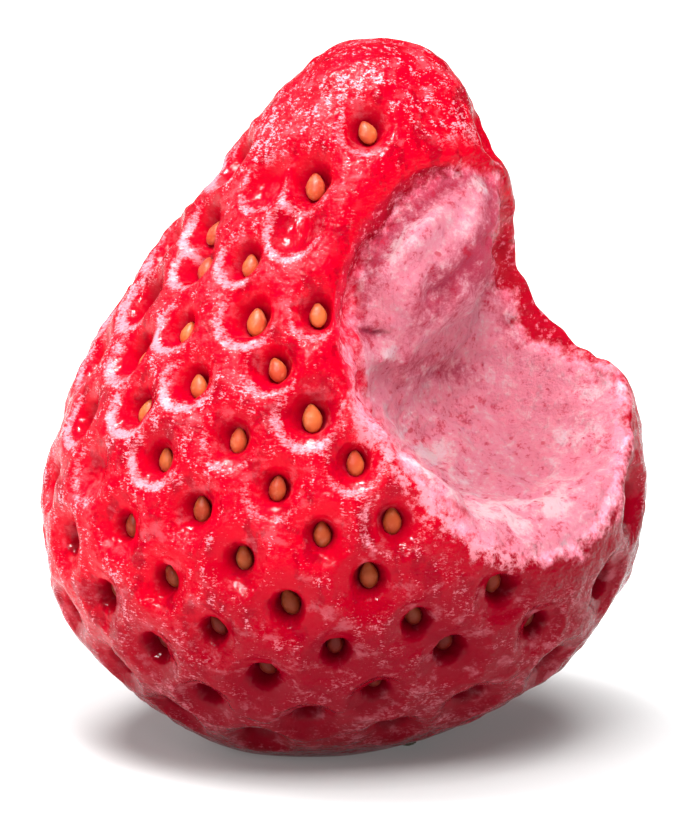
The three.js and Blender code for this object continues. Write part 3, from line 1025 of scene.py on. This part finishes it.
def achene_material():
    """Satin seed coat, with painted shade darkening it low on the fruit."""
    material, tree, shader = nodes_of("strawberry_achene")
    place = object_place(tree)
    colour = mix_colours(tree, turned(tree, place, COAT_TONE), COAT_TAN, COAT_ORANGE)
    colour = mix_in(tree, turned(tree, place, COAT_MARK), COAT_MARK, colour, COAT_PALE)
    # Painted shade: achenes low on the fruit are darker.
    low_shade = graded(tree, part_of(tree, place, "Z"), COAT_SHADE_DOWN_FRUIT["height"], COAT_SHADE_DOWN_FRUIT["share"])
    colour = mix_colours(tree, low_shade, colour, COAT_SHADE)
    tree.links.new(colour, shader.inputs["Base Color"])
    bump = add_node(tree, "Bump", Strength=COAT_RELIEF["strength"], Distance=COAT_RELIEF["high"],
                    Height=pattern(tree, place, COAT_RELIEF))
    tree.links.new(bump.outputs[0], shader.inputs["Normal"])
    set_finish(shader, COAT_FINISH)
    return material


new_piece("achenes", achene_mesh(), achene_material(), "root", "strawberry_achene", "fruit")

# ---- Calyx scrap -------------------------------------------------------------------------------
# What was left when the stem was pulled off: a withered, fibrous stub with the torn roots of five sepals,
# one of them long enough to show. It lies loose in the hollow of the foot.

CALYX_MIDDLE = 0.4
CALYX_FLAT = (0.04, 0.76)  # the heights that it is pressed between
CALYX_WAVE = (0.05, 0.7, 6)
CALYX_RIB = (0.03, 0.25, 7)
CALYX_RIB_STRETCH = [1, 1, 0.2]
CALYX_VOXEL = 0.11
STUB = {"cuts": 3, "shrunk": 0.97, "half_height": 0.26}
SEPAL = {"thick": 0.24, "along": 14, "across": 6}
SEPAL_TEAR = {"deep": 0.5, "across": 1.7, "seed": 5.3}
SEPAL_WIDTH = {"least": 0.92, "varies": 0.16, "along": 4, "seed": 3.7}
SEPAL_WAVE = {"high": 0.09, "along": 5, "across": 2.6, "share": 0.5}
LEAF_GREEN = (0.13, 0.15, 0.085, 1)
LEAF_BROWN = (0.15, 0.10, 0.06, 1)
LEAF_PALE = (0.38, 0.36, 0.28, 1)
LEAF_ROUGHNESS = (0.65, 0.65, 0.65, 1)
BROWN_ROUGHNESS = (0.9, 0.9, 0.9, 1)
WITHERED = {"scale": 500, "detail": 4, "turns": (0.42, 0.62)}
LEAF_FIBRE = {"scale": 4200, "detail": 4, "rough": 0.7, "stretch": (0.5, 1, 1), "turns": (0.5, 0.68)}
LEAF_RELIEF = 0.00012


def sepal_faces(bm, azimuth, length, seed):
    """A sepal's torn root: a strip that narrows outwards, waves up and down and ends in a ragged edge."""
    grid = bmesh.ops.create_grid(bm, x_segments=SEPAL["along"], y_segments=SEPAL["across"], size=0.5)["verts"]
    for vert in grid:
        share, side = vert.co.x + 0.5, vert.co.y * 2
        at_tear = Vector((side * SEPAL_TEAR["across"], seed * SEPAL_TEAR["seed"], 0))
        tear = noise.noise(at_tear) * SEPAL_TEAR["deep"] * share ** 3
        at_side = Vector((share * SEPAL_WIDTH["along"], seed * SEPAL_WIDTH["seed"], side))
        half_width = CALYX["root"] + (CALYX["tip"] - CALYX["root"]) * share
        half_width *= SEPAL_WIDTH["least"] + SEPAL_WIDTH["varies"] * noise.noise(at_side)
        wave = math.sin(share * SEPAL_WAVE["along"] + seed)
        wave -= SEPAL_WAVE["share"] * math.cos(side * SEPAL_WAVE["across"])
        vert.co = (share * length - abs(tear), side * half_width, SEPAL_WAVE["high"] * wave)
    faces = list({face for vert in grid for face in vert.link_faces})
    thick = bmesh.ops.solidify(bm, geom=faces, thickness=SEPAL["thick"])["geom"]
    whole = set(grid) | {part for part in thick if isinstance(part, bmesh.types.BMVert)}
    turn = Matrix.Translation((*CALYX_AT, CALYX_MIDDLE)) @ Matrix.Rotation(math.radians(azimuth), 4, "Z")
    bmesh.ops.transform(bm, matrix=turn, verts=list(whole))


def calyx_mesh():
    """The stub and its sepals grown into one body."""
    bm = bmesh.new()
    half_width = CALYX["stub"] * STUB["shrunk"]
    stub = Matrix.Translation((*CALYX_AT, CALYX_MIDDLE))
    stub @= Matrix.Diagonal((half_width, half_width, STUB["half_height"], 1))
    bmesh.ops.create_icosphere(bm, subdivisions=STUB["cuts"], radius=1, matrix=stub)
    for seed, (azimuth, length) in enumerate(SEPALS):
        sepal_faces(bm, azimuth, length, seed)
    mesh = evened(mesh_object("calyx_rough", bm), CALYX_VOXEL)
    mesh.name = "calyx_scrap_torn"
    at = vertex_array(mesh)
    at[:, 2] += waves(at, [CALYX_WAVE]) + waves(at * CALYX_RIB_STRETCH, [CALYX_RIB])
    at[:, 2] = np.clip(at[:, 2], *CALYX_FLAT)
    move_vertices(mesh, at * MM)
    mesh.shade_smooth()
    return mesh


def calyx_material():
    """Dry leaf: grey green, browner where it has withered most, with pale fibres."""
    material, tree, shader = nodes_of("dry_calyx")
    place = object_place(tree)
    withered = turned(tree, place, WITHERED)
    fibre = pattern(tree, place, LEAF_FIBRE)
    colour = mix_colours(tree, withered, LEAF_GREEN, LEAF_BROWN)
    colour = mix_colours(tree, step_of(tree, fibre, *LEAF_FIBRE["turns"]), colour, LEAF_PALE)
    tree.links.new(colour, shader.inputs["Base Color"])
    bump = add_node(tree, "Bump", Strength=1.0, Distance=LEAF_RELIEF, Height=fibre)
    tree.links.new(bump.outputs[0], shader.inputs["Normal"])
    rough = mix_colours(tree, withered, LEAF_ROUGHNESS, BROWN_ROUGHNESS)
    tree.links.new(rough, shader.inputs["Roughness"])
    return material


new_piece("calyx_scrap_torn", calyx_mesh(), calyx_material(), "root", "dry_calyx", "calyx_scrap")

# ---- Studio ------------------------------------------------------------------------------------
# A pale floor that glows brighter away from the fruit, soft lamps above, in front, at the left and behind,
# two small lamps that only make glints, and a camera a little above the fruit.

CAMERA_HEIGHT_ANGLE = math.radians(12)
CAMERA_DISTANCE = 0.42
CAMERA_TARGET = Vector((0, 0, 0.01862))
CAMERA_SEES = (0.01, 20)
PIXELS_PER_MM = 18
IMAGE_HEIGHT = 816
SENSOR = 36
FLOOR = {"size": 3, "x_segments": 8, "y_segments": 8}
FLOOR_FINISH = {"Base Color": (0.5, 0.5, 0.5, 1), "Roughness": 0.8, "Emission Color": (1, 1, 1, 1)}
FLOOR_GLOWS = {"away": (0.012, 0.027), "glow": (0.12, 0.9)}
ROOM_LIGHT = 0.08
LAMPS = [  # name, place, size, power, and the kind of light that it doesn't give
    ("overhead", (-0.12, 0.02, 0.40), 0.16, 1.5, "glossy"),
    ("upper front", (0.05, -0.22, 0.36), 0.22, 2.5, "glossy"),
    ("left", (-0.34, -0.22, 0.16), 0.2, 0.55, "glossy"),
    ("overhead glint", (-0.12, 0.02, 0.40), 0.09, 7, "diffuse"),
    ("left glint", (-0.176, -0.216, 0.284), 0.05, 2.4, "diffuse"),
    ("behind left", (-0.36, 0.22, 0.22), 0.2, 0.6, None),
]


def aim(obj, place):
    """Puts an object at a place, looking at the fruit."""
    obj.location = place
    obj.rotation_euler = (CAMERA_TARGET - Vector(place)).to_track_quat("-Z", "Y").to_euler()


def add_object(name, data):
    """A new object in the scene."""
    obj = bpy.data.objects.new(name, data)
    bpy.context.scene.collection.objects.link(obj)
    return obj


for name, place, size, power, without in LAMPS:
    lamp = add_object(name, bpy.data.lights.new(name, "AREA"))
    lamp.data.size = size
    lamp.data.energy = power
    lamp.visible_glossy = without != "glossy"
    lamp.visible_diffuse = without != "diffuse"
    aim(lamp, place)

floor_bm = bmesh.new()
bmesh.ops.create_grid(floor_bm, **FLOOR)
floor = mesh_object("floor", floor_bm)
finish, tree, shader = nodes_of("white_floor")
set_finish(shader, FLOOR_FINISH)
away = add_node(tree, "VectorMath", {"operation": "LENGTH"}, Vector=object_place(tree)).outputs["Value"]
glow = graded(tree, away, FLOOR_GLOWS["away"], FLOOR_GLOWS["glow"])
tree.links.new(glow, shader.inputs["Emission Strength"])
floor.data.materials.append(finish)

world = bpy.data.worlds.new("studio")
world.use_nodes = True
world.node_tree.nodes["Background"].inputs["Color"].default_value = (1, 1, 1, 1)
world.node_tree.nodes["Background"].inputs["Strength"].default_value = ROOM_LIGHT
bpy.context.scene.world = world
bpy.context.scene.view_settings.view_transform = "Standard"

camera = add_object("camera", bpy.data.cameras.new("camera"))
back = Vector((0, -math.cos(CAMERA_HEIGHT_ANGLE), math.sin(CAMERA_HEIGHT_ANGLE)))
aim(camera, CAMERA_TARGET + back * CAMERA_DISTANCE)
camera.data.sensor_width = SENSOR
camera.data.lens = SENSOR * PIXELS_PER_MM * (CAMERA_DISTANCE / MM) / IMAGE_HEIGHT
camera.data.clip_start, camera.data.clip_end = CAMERA_SEES
bpy.context.scene.camera = camera
